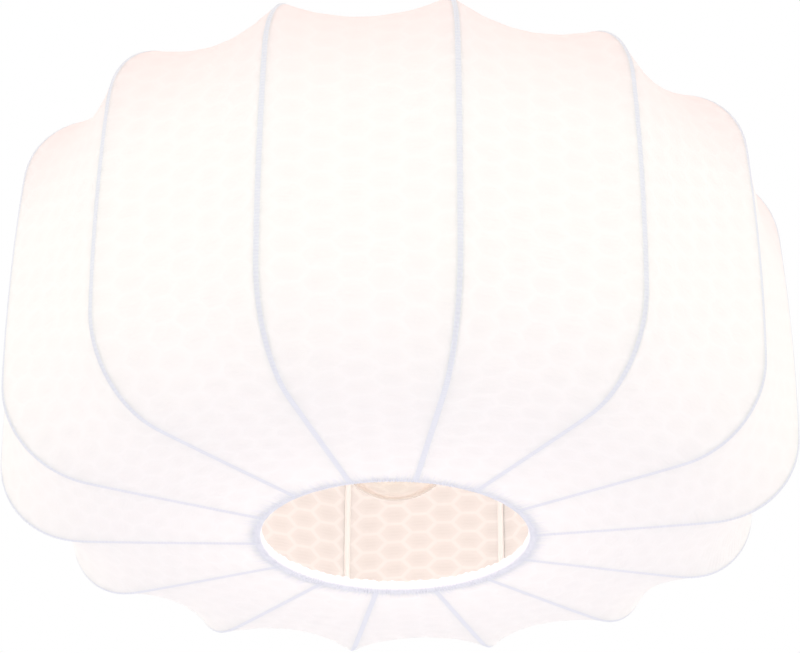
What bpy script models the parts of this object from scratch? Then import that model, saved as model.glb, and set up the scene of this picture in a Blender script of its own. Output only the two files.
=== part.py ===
"""A round ceiling lantern: a stretch-knit skin on fourteen wire ribs, round a globe bulb.

Everything hangs from the ceiling face, which is the world's origin. Heights in this script are
measured up from the plane of the bottom ring, and the ring_plane empty carries all of it down.
"""

import math

import bmesh
import bpy
import numpy as np

# Driving sizes, in metres and radians.
HEIGHT = 0.312  # ceiling face above the plane of the bottom ring
GAP = 0.0004  # between two pieces that touch
RIBS = 14

# Shade frame.
RING_WIRE = 0.004
RIB_WIRE = 0.003
BOTTOM_RING_R = 0.101
TOP_RING_R = 0.090
ARM_SLOPE = math.radians(2.4)  # the lower arm climbs a little as it runs outwards
ARM_LENGTH = 0.131
LOWER_SHOULDER_R = 0.067
SIDE_START = math.radians(88.1)
SIDE_END = math.radians(93.9)
SIDE_LENGTH = 0.173
UPPER_SHOULDER_R = 0.069

# Fabric.
SKIN = 0.001
SEAM = 0.0026  # a panel's edge to the middle of its rib
SLACK_RATIO = 0.55  # pull along the ribs over the pull across them
HEM_DEPTH = 0.008
HEM_THICKNESS = 0.0012

# Ceiling fixture.
CANOPY_R = 0.084
CANOPY_DEPTH = 0.028
CANOPY_WALL = 0.001
BRACKET_THICKNESS = 0.0015
BRACKET_WIDTH = 0.020
SCREW_DROP = 0.017  # canopy screws below the ceiling face
SCREW_R = 0.002
SCREW_HEAD_R = 0.0048
SCREW_HEAD_LENGTH = 0.0085
SCREW_TIP = 0.0765  # how far from the lantern's axis a canopy screw ends
WASHER = 0.0008
NUT_THICKNESS = 0.005
TERMINAL_SIZE = (0.022, 0.018, 0.013)
TERMINAL_X = 0.034
WAY_Y = 0.0045  # each way of the terminal block from its middle
LEAD_WIRE = 0.0022
STEM_R = 0.005
STEM_BORE_R = 0.0036
STEM_BOTTOM = 0.201
STEM_TOP = 0.296
HUB_R = 0.040
HUB_HEIGHT = 0.216
HUB_THICKNESS = 0.0015
HUB_RIM = 0.006
ARM_WIRE = 0.004
ARMS = 3

# Lampholder and bulb.
HOLDER_MOUTH = 0.142
HOLDER_JOINT = 0.186
HOLDER_R = 0.0195
HOLDER_WALL = 0.0022
CERAMIC_R = 0.0165
CERAMIC_LOW = 0.1762
CERAMIC_TOP = 0.1845
SHELL_R = 0.0148
SHELL_TOP = 0.1758
HOLDER_THREAD_PITCH = 0.0058
CONTACT_HEIGHT = 0.17545
GLOBE_R = 0.0475
GLOBE_HEIGHT = 0.081
BULB_NECK_TOP = 0.149
BULB_CAP_BASE = 0.1455
BULB_CAP_TOP = 0.1672
BULB_CAP_R = 0.0131
GLASS = 0.0009
TIP_HEIGHT = 0.1708
TIP_TOP = 0.1739
BULB_THREAD_PITCH = 0.0042
FILAMENT_WIRE = 0.0014


def clear_scene():
    for old in list(bpy.data.objects):
        bpy.data.objects.remove(old)


def new_collection(name):
    made = bpy.data.collections.new(name)
    bpy.context.scene.collection.children.link(made)
    return made


def material(name, colour, roughness, metallic=0.0):
    made = bpy.data.materials.new(name)
    made.use_nodes = True
    shader = made.node_tree.nodes["Principled BSDF"]
    shader.inputs["Base Color"].default_value = (*colour, 1.0)
    shader.inputs["Roughness"].default_value = roughness
    shader.inputs["Metallic"].default_value = metallic
    return made


def add(name, data, finish, location=(0, 0, 0), rotation=(0, 0, 0)):
    """Puts a piece in the lantern's collection, in the frame of the ring plane."""
    piece = bpy.data.objects.new(name, data)
    piece.location = location
    piece.rotation_euler = rotation
    piece.parent = RING_PLANE
    piece.data.materials.append(finish)
    LANTERN.objects.link(piece)
    return piece


def polar(radius, height, angle=0.0):
    return (radius * math.cos(angle), radius * math.sin(angle), height)


def turned(name, profile, steps, finish, location=(0, 0, 0), rotation=(0, 0, 0), ring=True):
    """A turned piece. The profile of (radius, height) runs down its outer side and back up inside."""
    mesh = bpy.data.meshes.new(name)
    count = len(profile)
    edges = [(i, (i + 1) % count) for i in range(count if ring else count - 1)]
    mesh.from_pydata([(r, 0.0, h) for r, h in profile], edges, [])
    piece = add(name, mesh, finish, location, rotation)
    screw = piece.modifiers.new("Turn", "SCREW")
    screw.steps = screw.render_steps = steps
    screw.use_merge_vertices = True
    screw.merge_threshold = 1e-5
    screw.use_smooth_shade = True
    return piece


def wire(name, points, diameter, finish, rotation=0.0, closed=False, resolution=1):
    """A bent wire as a bevelled polyline."""
    curve = bpy.data.curves.new(name, "CURVE")
    curve.dimensions = "3D"
    curve.bevel_depth = diameter / 2
    curve.bevel_resolution = resolution
    curve.use_fill_caps = True
    spline = curve.splines.new("POLY")
    spline.points.add(len(points) - 1)
    for slot, point in zip(spline.points, points):
        slot.co = (*point, 1.0)
    spline.use_cyclic_u = closed
    return add(name, curve, finish, rotation=(0, 0, rotation))


def block(name, size, centre, finish):
    """A plain block with its origin at its centre."""
    mesh = bpy.data.meshes.new(name)
    shape = bmesh.new()
    bmesh.ops.create_cube(shape, size=1.0)
    bmesh.ops.scale(shape, vec=size, verts=shape.verts)
    shape.to_mesh(mesh)
    shape.free()
    return add(name, mesh, finish, location=centre)


def rod_cutter(name, radius, length, centre, rotation=(0, 0, 0), sides=16):
    mesh = bpy.data.meshes.new(name)
    shape = bmesh.new()
    bmesh.ops.create_cone(
        shape, cap_ends=True, segments=sides, radius1=radius, radius2=radius, depth=length
    )
    shape.to_mesh(mesh)
    shape.free()
    return as_cutter(add(name, mesh, STEEL, location=centre, rotation=rotation))


def as_cutter(piece):
    LANTERN.objects.unlink(piece)
    CUTTERS.objects.link(piece)
    piece.hide_render = True
    piece.display_type = "WIRE"
    return piece


def cut(piece, cutter, operation="DIFFERENCE"):
    boolean = piece.modifiers.new(cutter.name, "BOOLEAN")
    boolean.operation = operation
    boolean.object = cutter


def bend(start, slope, radius, turn, steps):
    """Points along an arc that begins at start with this slope and turns counter-clockwise."""
    points = []
    for i in range(1, steps + 1):
        angle = slope + turn * i / steps
        r = start[0] + radius * (math.sin(angle) - math.sin(slope))
        h = start[1] - radius * (math.cos(angle) - math.cos(slope))
        points.append((r, h))
    return points


def rib_profile(side_steps=3, shoulder_steps=5, arm_steps=2):
    """(radius, height) of a rib's middle line, from the bottom ring out, up and back in."""
    start_r = BOTTOM_RING_R + RING_WIRE / 2 + GAP
    end_r = TOP_RING_R + RING_WIRE / 2 + GAP
    points = [(start_r, 0.0)]
    for i in range(1, arm_steps + 1):
        run = ARM_LENGTH * i / arm_steps
        points.append((start_r + run * math.cos(ARM_SLOPE), run * math.sin(ARM_SLOPE)))
    lower_turn = SIDE_START - ARM_SLOPE
    points += bend(points[-1], ARM_SLOPE, LOWER_SHOULDER_R, lower_turn, shoulder_steps)
    side_turn = SIDE_END - SIDE_START
    points += bend(points[-1], SIDE_START, SIDE_LENGTH / side_turn, side_turn, side_steps)
    points += bend(points[-1], SIDE_END, UPPER_SHOULDER_R, math.pi - SIDE_END, shoulder_steps)
    inner_r, top = points[-1]
    for i in range(1, arm_steps + 1):
        points.append((inner_r + (end_r - inner_r) * i / arm_steps, top))
    return points


def top_height():
    return rib_profile()[-1][1]


def shade_rings():
    sides = 42
    for name, radius, height in (
        ("bottom_ring", BOTTOM_RING_R, 0.0),
        ("top_ring", TOP_RING_R, top_height()),
    ):
        around = [polar(radius, height, 2 * math.pi * i / sides) for i in range(sides)]
        wire(name, around, RING_WIRE, PAINTED_WIRE, closed=True)


def ribs():
    points = [polar(r, h) for r, h in rib_profile()]
    for i in range(RIBS):
        angle = -math.pi / 2 + 2 * math.pi * (i + 0.5) / RIBS
        wire(f"rib_{i + 1:02d}", points, RIB_WIRE, PAINTED_WIRE, rotation=angle)


def stretched_panel(across=4, rounds=400):
    """Grid of points between two ribs, pulled straight across and along until it is in balance."""
    profile = np.array(rib_profile())
    half = math.pi / RIBS
    share = np.linspace(-1.0, 1.0, across + 1)
    radius, height = profile[:, 0], profile[:, 1]
    reach = radius * math.cos(half)
    width = radius * math.sin(half) - SEAM
    skin = np.zeros((across + 1, len(profile), 3))
    skin[:, :, 0] = reach
    skin[:, :, 1] = share[:, None] * width
    skin[:, :, 2] = height
    for end in (0, -1):  # both ends follow their ring
        turn = share * width[end] / radius[end]
        skin[:, end, 0] = (radius[end] + SKIN) * np.cos(turn)
        skin[:, end, 1] = (radius[end] + SKIN) * np.sin(turn)
    step_across = 2 * width / across
    step_along = np.linalg.norm(np.diff(profile, axis=0), axis=1)
    pull_across = (0.5 * (step_along[:-1] + step_along[1:]) / step_across[1:-1])[None, :, None]
    pull_along = SLACK_RATIO * 0.5 * (step_across[:-1] + step_across[1:]) / step_along
    before = pull_along[:-1][None, :, None]
    after = pull_along[1:][None, :, None]
    for _ in range(rounds):
        pulled = pull_across * (skin[:-2, 1:-1] + skin[2:, 1:-1])
        pulled = pulled + before * skin[1:-1, :-2] + after * skin[1:-1, 2:]
        skin[1:-1, 1:-1] = pulled / (2 * pull_across + before + after)
    return skin


def panel_mesh():
    skin = stretched_panel()
    across, along = skin.shape[0] - 1, skin.shape[1] - 1
    shape = bmesh.new()
    bmesh.ops.create_grid(shape, x_segments=across, y_segments=along, size=0.5)
    for vert in shape.verts:
        i = round((vert.co.x + 0.5) * across)
        j = round((vert.co.y + 0.5) * along)
        vert.co = skin[i, j]
    mesh = bpy.data.meshes.new("panel")
    shape.to_mesh(mesh)
    shape.free()
    mesh.shade_smooth()
    return mesh


def fabric_panels():
    shared = panel_mesh()
    for i in range(RIBS):
        angle = -math.pi / 2 + 2 * math.pi * i / RIBS
        panel = add(f"panel_{i + 1:02d}", shared, KNIT, rotation=(0, 0, angle))
        shell = panel.modifiers.new("Thickness", "SOLIDIFY")
        shell.thickness = SKIN
        shell.offset = 0.0
        shell.use_even_offset = True


def hems():
    """The turned-in edges of the skin, one band inside each ring."""
    for name, ring_r, low in (
        ("bottom_hem", BOTTOM_RING_R, -RING_WIRE / 2),
        ("top_hem", TOP_RING_R, top_height() + RING_WIRE / 2 - HEM_DEPTH),
    ):
        outer = ring_r - RING_WIRE / 2 - GAP
        inner = outer - HEM_THICKNESS
        high = low + HEM_DEPTH
        band = [(outer, high), (outer, low), (inner, low), (inner, high)]
        turned(name, band, 36, KNIT)


def spider_arms():
    """Three wires that carry the shade's top ring from the hub plate."""
    rest = HUB_HEIGHT + HUB_THICKNESS + GAP + ARM_WIRE / 2
    under_ring = top_height() - RING_WIRE / 2 - GAP
    route = [
        (0.0125, rest),
        (0.030, rest),
        (0.038, rest + 0.003),
        (0.082, 0.268),
        (0.088, 0.277),
        (TOP_RING_R, 0.287),
        (TOP_RING_R, under_ring),
    ]
    points = [polar(r, h) for r, h in route]
    for i in range(ARMS):
        angle = math.pi / 2 + 2 * math.pi * i / ARMS
        wire(f"spider_arm_{i + 1}", points, ARM_WIRE, PAINTED_WIRE, rotation=angle, resolution=2)


def hub_plate():
    """A pressed disc with a turned-down rim, clamped on the stem above the lampholder."""
    top = HUB_HEIGHT + HUB_THICKNESS
    rim = HUB_HEIGHT - HUB_RIM
    bore = STEM_R + GAP
    profile = [
        (bore, top),
        (HUB_R - 0.002, top),
        (HUB_R, top - 0.002),
        (HUB_R, rim),
        (HUB_R - HUB_THICKNESS, rim),
        (HUB_R - HUB_THICKNESS, HUB_HEIGHT),
        (bore, HUB_HEIGHT),
    ]
    turned("hub_plate", profile, 24, PAINTED_STEEL)


def stem():
    profile = [
        (STEM_R, STEM_TOP),
        (STEM_R, STEM_BOTTOM),
        (STEM_BORE_R, STEM_BOTTOM),
        (STEM_BORE_R, STEM_TOP),
    ]
    turned("stem_tube", profile, 16, STEEL)


def lock_nut(name, low, thickness=NUT_THICKNESS, corner_r=0.0081):
    """A hexagonal nut round the stem, with its lower face at low."""
    mesh = bpy.data.meshes.new(name)
    shape = bmesh.new()
    bmesh.ops.create_cone(
        shape, cap_ends=True, segments=6, radius1=corner_r, radius2=corner_r, depth=thickness
    )
    shape.to_mesh(mesh)
    shape.free()
    nut = add(name, mesh, STEEL, location=(0, 0, low + thickness / 2))
    cut(nut, rod_cutter(name + "_bore", STEM_R + GAP, 2 * thickness, (0, 0, low + thickness / 2)))


def canopy():
    """The round pan that covers the wiring, open towards the ceiling."""
    base = HEIGHT - CANOPY_DEPTH
    edge = 0.004
    bore = STEM_R + GAP
    profile = [(bore, base + CANOPY_WALL)]
    profile += [(CANOPY_R - CANOPY_WALL - edge, base + CANOPY_WALL)]
    profile += [(CANOPY_R - CANOPY_WALL, base + CANOPY_WALL + edge)]
    profile += [(CANOPY_R - CANOPY_WALL, HEIGHT), (CANOPY_R, HEIGHT)]
    profile += [(CANOPY_R, base + edge)]
    profile += [(CANOPY_R - 0.3 * edge, base + 0.3 * edge), (CANOPY_R - edge, base)]
    profile += [(bore, base)]
    pan = turned("canopy", profile, 36, PAINTED_STEEL)
    height = HEIGHT - SCREW_DROP
    across = (0, math.pi / 2, 0)
    cut(pan, rod_cutter("canopy_screw_holes", SCREW_R + GAP, 0.2, (0, 0, height), across))


def ceiling_bracket():
    """A strap on the ceiling with two bent-down ears, which the canopy's screws enter."""
    reach = CANOPY_R - CANOPY_WALL - 0.001
    ear = 0.022
    size = (2 * reach, BRACKET_WIDTH, BRACKET_THICKNESS)
    centre = (0, 0, HEIGHT - BRACKET_THICKNESS / 2)
    strap = block("ceiling_bracket", size, centre, STEEL)
    for side, name in ((1, "ear_right"), (-1, "ear_left")):
        place = (side * (reach - BRACKET_THICKNESS / 2), 0, HEIGHT - ear / 2)
        bent = as_cutter(block(name, (BRACKET_THICKNESS, BRACKET_WIDTH, ear), place, STEEL))
        cut(strap, bent, "UNION")
        slot = (side * 0.036, 0, HEIGHT)
        cut(strap, as_cutter(block(name + "_slot", (0.016, 0.0052, 0.01), slot, STEEL)))
    height = HEIGHT - SCREW_DROP
    across = (0, math.pi / 2, 0)
    cut(strap, rod_cutter("bracket_screw_holes", SCREW_R + GAP, 0.2, (0, 0, height), across))


def canopy_screw(side, facing):
    """A knurled thumb screw and its washer, on an axis that points out of the canopy."""
    place = (0, 0, HEIGHT - SCREW_DROP)
    turn = (0, math.pi / 2, facing)
    face = CANOPY_R + GAP
    washer_top = face + WASHER
    washer_r = SCREW_HEAD_R - 0.0004
    seat = washer_top + GAP
    crown = seat + SCREW_HEAD_LENGTH
    edge = 0.001
    washer = [
        (washer_r, washer_top),
        (washer_r, face),
        (SCREW_R + GAP, face),
        (SCREW_R + GAP, washer_top),
    ]
    turned(f"canopy_washer_{side}", washer, 12, STEEL, place, turn)
    screw = [
        (0.0, crown),
        (SCREW_HEAD_R - edge, crown),
        (SCREW_HEAD_R, crown - edge),
        (SCREW_HEAD_R, seat + edge),
        (SCREW_HEAD_R - edge, seat),
        (SCREW_R, seat),
        (SCREW_R, SCREW_TIP + edge),
        (0.5 * SCREW_R, SCREW_TIP),
        (0.0, SCREW_TIP),
    ]
    turned(f"canopy_screw_{side}", screw, 16, BRASS, place, turn, ring=False)


def terminal_block():
    """A two-way connector on the canopy's base, with a screw well over each way."""
    low = HEIGHT - CANOPY_DEPTH + CANOPY_WALL + GAP
    high = low + TERMINAL_SIZE[2]
    centre = (TERMINAL_X, 0, (low + high) / 2)
    body = block("terminal_block", TERMINAL_SIZE, centre, CREAM_PLASTIC)
    soften = body.modifiers.new("Edges", "BEVEL")
    soften.width = 0.0012
    soften.segments = 1
    for way, y in enumerate((-WAY_Y, WAY_Y)):
        for end, x in enumerate((-0.006, 0.006)):
            well = (TERMINAL_X + x, y, high)
            cut(body, rod_cutter(f"well_{way}{end}", 0.0021, 0.010, well, sides=10))


def leads():
    """The two insulated leads, from the terminal block down the stem to the lampholder."""
    start_x = TERMINAL_X - TERMINAL_SIZE[0] / 2 - GAP
    for name, y, finish in (("lead_live", -1, BROWN_LEAD), ("lead_neutral", 1, BLUE_LEAD)):
        points = [
            (start_x, WAY_Y * y, 0.2925),
            (0.018, WAY_Y * y, 0.2935),
            (0.013, 0.004 * y, 0.2975),
            (0.008, 0.0028 * y, 0.3015),
            (0.0035, 0.0018 * y, 0.3025),
            (0.0008, 0.0014 * y, 0.3005),
            (0.0, 0.0014 * y, 0.296),
            (0.0, 0.0014 * y, HOLDER_JOINT + 0.0016),
        ]
        wire(name, points, LEAD_WIRE, finish)


def lampholder():
    """Cap, skirt, ceramic base, threaded shell and centre contact of an E27 holder."""
    neck = STEM_R + GAP
    cap_top = HUB_HEIGHT - GAP
    wall = HOLDER_WALL
    cap = [
        (0.010, cap_top),
        (0.0115, cap_top - 0.001),
        (0.0125, cap_top - 0.010),
        (0.0180, cap_top - 0.017),
        (HOLDER_R, cap_top - 0.021),
        (HOLDER_R, HOLDER_JOINT),
        (HOLDER_R - wall, HOLDER_JOINT),
        (HOLDER_R - wall, cap_top - 0.0195),
        (0.0112, cap_top - 0.0155),
        (neck, cap_top - 0.0155),
        (neck, cap_top),
    ]
    turned("lampholder_cap", cap, 20, CREAM_PLASTIC)
    joint = HOLDER_JOINT - GAP
    flare = 0.0008
    skirt = [
        (HOLDER_R - wall, joint),
        (HOLDER_R, joint),
        (HOLDER_R, joint - 0.010),
        (HOLDER_R - 0.001, joint - 0.011),
        (HOLDER_R - 0.001, HOLDER_MOUTH + 0.004),
        (HOLDER_R + flare, HOLDER_MOUTH + 0.003),
        (HOLDER_R + flare, HOLDER_MOUTH),
        (HOLDER_R - wall, HOLDER_MOUTH),
    ]
    turned("lampholder_skirt", skirt, 20, CREAM_PLASTIC)
    base = [(0.0, CERAMIC_TOP), (CERAMIC_R, CERAMIC_TOP), (CERAMIC_R, CERAMIC_LOW)]
    base += [(0.0, CERAMIC_LOW)]
    turned("ceramic_base", base, 16, CERAMIC, ring=False)
    shell_low = HOLDER_MOUTH + 0.003
    shell = [(SHELL_R, SHELL_TOP)]
    for i in range(4):
        height = SHELL_TOP - 0.004 - HOLDER_THREAD_PITCH * i
        shell += [(SHELL_R, height), (SHELL_R - 0.0005, height - HOLDER_THREAD_PITCH / 2)]
    shell += [(SHELL_R, shell_low), (SHELL_R - 0.0006, shell_low)]
    shell += [(SHELL_R - 0.0011, SHELL_TOP)]
    turned("threaded_shell", shell, 20, BRASS)


def centre_contact():
    """A sprung brass tongue under the ceramic base."""
    strip = (0.0140, 0.005, 0.0005)
    bow = (0.0075, 0.005, 0.0010)
    tongue = block("centre_contact", strip, (0.0045, 0, CONTACT_HEIGHT), BRASS)
    low = CONTACT_HEIGHT - 0.00065
    foot = as_cutter(block("contact_bow", bow, (0.0, 0, low), BRASS))
    cut(tongue, foot, "UNION")


def globe_profile(radius, neck_r, neck_top, steps=8):
    """(radius, height) down a globe with a straight neck, ending on the axis."""
    opening = math.asin(neck_r * 1.35 / radius)
    points = [(neck_r, neck_top), (neck_r, GLOBE_HEIGHT + radius * math.cos(opening) + 0.010)]
    for i in range(steps + 1):
        angle = opening + (math.pi - opening) * i / steps
        points.append((radius * math.sin(angle), GLOBE_HEIGHT + radius * math.cos(angle)))
    points[-1] = (0.0, GLOBE_HEIGHT - radius)
    return points


def bulb():
    """A clear globe on a screw cap, with its filament and the stem that holds it."""
    neck = BULB_CAP_R - 0.0011
    outer = globe_profile(GLOBE_R, neck, BULB_NECK_TOP)
    inner = globe_profile(GLOBE_R - GLASS, neck - GLASS, BULB_NECK_TOP)
    turned("bulb_glass", inner[::-1] + outer, 20, CLEAR_GLASS, ring=False)
    cap_inner = neck + 0.0004
    cap = [(0.0085, BULB_CAP_TOP), (BULB_CAP_R - 0.0018, BULB_CAP_TOP - 0.001)]
    for i in range(4):
        height = BULB_CAP_TOP - 0.0035 - BULB_THREAD_PITCH * i
        cap += [(BULB_CAP_R, height), (BULB_CAP_R - 0.0008, height - BULB_THREAD_PITCH / 2)]
    cap += [(BULB_CAP_R, BULB_CAP_BASE), (cap_inner, BULB_CAP_BASE)]
    cap += [(cap_inner, BULB_NECK_TOP + 0.0004), (0.0085, BULB_NECK_TOP + 0.0026)]
    turned("bulb_cap", cap, 20, NICKEL)
    top = TIP_HEIGHT - GAP
    insulator = [
        (0.0, top),
        (0.0052, top),
        (0.0082, BULB_CAP_TOP + 0.0004),
        (0.0081, BULB_CAP_TOP - 0.0018),
        (0.0, BULB_CAP_TOP - 0.0018),
    ]
    turned("cap_insulator", insulator, 14, DARK_GLASS, ring=False)
    tip = [(0.0, TIP_TOP), (0.0028, TIP_TOP - 0.0005), (0.0046, TIP_TOP - 0.0019)]
    tip += [(0.0046, TIP_HEIGHT), (0.0, TIP_HEIGHT)]
    turned("bulb_tip", tip, 12, NICKEL, ring=False)
    bulb_inside()


def bulb_inside():
    """The glass mount that rises into the neck, and the zigzag filament under it."""
    foot, press, top = 0.128, 0.118, 0.1462
    mount = [
        (0.0, top),
        (0.0095, top),
        (0.0060, foot + 0.006),
        (0.0032, foot),
        (0.0030, press),
        (0.0, press),
    ]
    turned("bulb_stem", mount, 12, CLEAR_GLASS, ring=False)
    low, high, spread = 0.070, 0.110, 0.010
    zigzag = [(0.0, 0.0, press - GAP), (0.0, 0.0, high + 0.003)]
    for i in range(4):
        angle = math.pi / 4 + math.pi / 2 * i
        ends = (high, low) if i % 2 == 0 else (low, high)
        zigzag += [polar(spread, h, angle) for h in ends]
    wire("bulb_filament", zigzag, FILAMENT_WIRE, FILAMENT)


clear_scene()
LANTERN = new_collection("ceiling_lantern")
CUTTERS = new_collection("cutters")
RING_PLANE = bpy.data.objects.new("ring_plane", None)
RING_PLANE.location = (0, 0, -HEIGHT)
LANTERN.objects.link(RING_PLANE)

KNIT = material("warm_white_knit", (0.93, 0.88, 0.82), 0.9)
PAINTED_WIRE = material("white_painted_wire", (0.85, 0.84, 0.80), 0.45)
PAINTED_STEEL = material("white_painted_steel", (0.88, 0.87, 0.84), 0.4)
STEEL = material("zinc_plated_steel", (0.62, 0.62, 0.60), 0.35, 1.0)
BRASS = material("brass", (0.78, 0.60, 0.30), 0.3, 1.0)
NICKEL = material("nickel_plate", (0.72, 0.71, 0.68), 0.25, 1.0)
CREAM_PLASTIC = material("cream_plastic", (0.86, 0.83, 0.76), 0.5)
CERAMIC = material("glazed_ceramic", (0.90, 0.88, 0.84), 0.3)
CLEAR_GLASS = material("clear_glass", (0.95, 0.95, 0.93), 0.05)
DARK_GLASS = material("black_glass", (0.03, 0.03, 0.04), 0.2)
FILAMENT = material("filament_phosphor", (0.95, 0.72, 0.35), 0.6)
BROWN_LEAD = material("brown_insulation", (0.20, 0.09, 0.04), 0.5)
BLUE_LEAD = material("blue_insulation", (0.05, 0.16, 0.42), 0.5)

shade_rings()
ribs()
fabric_panels()
hems()
spider_arms()
hub_plate()
stem()
lock_nut("hub_nut", HUB_HEIGHT + HUB_THICKNESS + GAP)
lock_nut("canopy_nut_lower", HEIGHT - CANOPY_DEPTH - GAP - NUT_THICKNESS)
lock_nut("canopy_nut_upper", HEIGHT - CANOPY_DEPTH + CANOPY_WALL + GAP)
canopy()
ceiling_bracket()
canopy_screw("right", 0.0)
canopy_screw("left", math.pi)
terminal_block()
leads()
lampholder()
centre_contact()
bulb()
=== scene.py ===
"""Looks of the ceiling lantern: a stretched honeycomb knit on wire ribs, lit by a globe bulb."""

import math

import bmesh
import bpy
import numpy as np
from mathutils import Matrix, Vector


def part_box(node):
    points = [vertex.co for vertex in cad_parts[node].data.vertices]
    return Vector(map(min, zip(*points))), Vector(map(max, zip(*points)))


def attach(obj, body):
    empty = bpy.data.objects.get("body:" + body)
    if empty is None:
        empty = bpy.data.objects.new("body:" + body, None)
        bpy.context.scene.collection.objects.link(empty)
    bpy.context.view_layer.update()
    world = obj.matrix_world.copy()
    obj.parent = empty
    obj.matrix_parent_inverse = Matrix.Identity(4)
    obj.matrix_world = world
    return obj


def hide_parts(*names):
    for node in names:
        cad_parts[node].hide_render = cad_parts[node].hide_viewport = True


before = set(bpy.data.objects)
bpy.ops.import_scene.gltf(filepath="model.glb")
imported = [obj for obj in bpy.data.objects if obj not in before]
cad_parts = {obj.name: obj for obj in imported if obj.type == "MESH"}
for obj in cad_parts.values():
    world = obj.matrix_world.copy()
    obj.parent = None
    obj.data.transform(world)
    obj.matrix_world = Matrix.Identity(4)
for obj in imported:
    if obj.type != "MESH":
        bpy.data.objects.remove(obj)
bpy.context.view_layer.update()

# Frame sizes, in metres, read from the CAD nodes.
RIBS = sum(name.startswith("rib_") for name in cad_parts)
RIB_WIRE = 0.003
RING_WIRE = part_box("bottom_ring")[1].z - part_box("bottom_ring")[0].z
RING_Z = (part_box("bottom_ring")[0].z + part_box("bottom_ring")[1].z) / 2
RING_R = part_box("bottom_ring")[1].x - RING_WIRE / 2
TOP_Z = (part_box("top_ring")[0].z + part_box("top_ring")[1].z) / 2
TOP_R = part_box("top_ring")[1].x - RING_WIRE / 2

# A rib's outline, as part.py has it.
ARM_SLOPE, ARM_LENGTH = math.radians(2.4), 0.131
LOWER_R, UPPER_R = 0.067, 0.069
SIDE_START, SIDE_END, SIDE_LENGTH = math.radians(88.1), math.radians(93.9), 0.173

GAP = 0.0004  # between two pieces that touch

# Skin.
ACROSS, ALONG = 40, 176  # fine grid of one panel
COARSE_ACROSS, COARSE_ALONG = 12, 56  # grid on which the knit finds its balance
PULL_RATIO = 0.55  # pull along the ribs over the pull across them
SKIN_LIFT = 0.0026  # the skin's line over a rib's middle line
CELL_W, CELL_H = 0.043, 0.0173  # honeycomb repeat, across and along
CELL_TIP = 0.0145  # half a cell's width, tip to tip
RELIEF = 0.0004
LINING_DROP = 0.0003  # the knit's reverse face under its front

# The sewn casing of a rib, an egg in section: half its width, how much that narrows outwards,
# half its depth, and how far its middle is set in.
CASING_HALF, CASING_EGG, CASING_DEPTH, CASING_SET_IN = 0.0025, 0.0009, 0.0020, 0.0004

# The gathered edge round a ring.
EDGE_SIDES, PLEATS = 2520, 252
EDGE_REACH, EDGE_REACH_VARIES = 0.0042, 0.0012
EDGE_CLOTH = 0.0006  # over the wire
LIP = 0.0054  # of the band inside
PLEAT_OUTSIDE, PLEAT_ROUND, PLEAT_INSIDE = 0.00034, 0.00026, 0.00010

# Fixture sizes, in metres, as part.py has them; heights are over the ring plane.
CEILING = -RING_Z
CANOPY_R, CANOPY_DEPTH, CANOPY_WALL = 0.084, 0.028, 0.001
SCREW_Z, SCREW_R, SCREW_PITCH = -0.017, 0.002, 0.0007
HEAD_R, HEAD_LENGTH, WASHER = 0.0048, 0.0085, 0.0008
SHANK_END, KNURLS = 0.0765, 14
STEM_R, STEM_BORE_R, STEM_LOW, STEM_TOP = 0.005, 0.0036, 0.201, 0.296
HUB_R, HUB_LOW, HUB_WALL = 0.040, 0.216, 0.0015
NUT, NUT_CORNER_R, NUT_EDGE = 0.005, 0.0081, 0.0008
ARM_WIRE, ARMS = 0.004, 3
MOUTH, JOINT, HOLDER_R = 0.142, 0.186, 0.0195
GLOBE_R, GLOBE_Z, GLASS = 0.0475, 0.081, 0.0009
NECK_TOP, CAP_LOW, CAP_TOP, CAP_R = 0.149, 0.1455, 0.1672, 0.0131
TIP_LOW, TIP_TOP = 0.1708, 0.1739
EDISON_PITCH = 0.003629
FILAMENT_LOW, FILAMENT_TOP, FILAMENT_R, FILAMENT_WIRE = 0.070, 0.110, 0.010, 0.0007
BLOCK_X, WAY_Y, WAY_X, BLOCK_TOP = 0.034, 0.0045, 0.006, 0.013
CLAMP_R, CLAMP_LENGTH, CLAMP_SUNK = 0.0017, 0.003, 0.0016
LEAD_R = 0.0011

# Looks.
SEAM_HALF = 0.0021  # half the width of a sewn rib line
# Colour of a sewn rib line: partly the seam's doubled knit, partly painted shade where the rib and its
# casing block the bulb's light.
SEAM_AND_SHADE_COLOUR = (0.84, 0.83, 0.915)
# Colour of the gathers: partly the gathered knit, partly painted shade in its pleats.
GATHER_AND_SHADE_COLOUR = (0.84, 0.84, 0.94)
GATHER_REACH = 0.016  # how far the gathers run from the rings
PAINTED_WARM_LIGHT = (1.0, 0.885, 0.888)  # painted warm light: how the skin's colour warms towards the top
PAINTED_WARM_LIGHT_FROM_TO = (0.32, 0.48)  # along the skin from the mouth
PAINTED_COOL_SHADE = (0.99, 0.99, 1.01)  # and painted cool shade: how it cools towards the mouth
PAINTED_COOL_SHADE_FROM_TO = (0.06, 0.24)
AMBIENT = (1.145, 1.163, 1.105)
BULB_WATTS = 0.775
BULB_COLOUR = (1.0, 0.905, 0.87)
# Of each knit: its colour in the open and in the close stitches, the light that it lets through,
# and how much of it goes through the two.
FRONT = ((0.938, 0.938, 0.948), (0.955, 0.955, 0.965), (1.0, 0.98, 0.97), (0.33, 0.315))
REVERSE = ((0.785, 0.76, 0.74), (0.97, 0.96, 0.95), (1.0, 0.97, 0.94), (0.50, 0.50))
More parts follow.
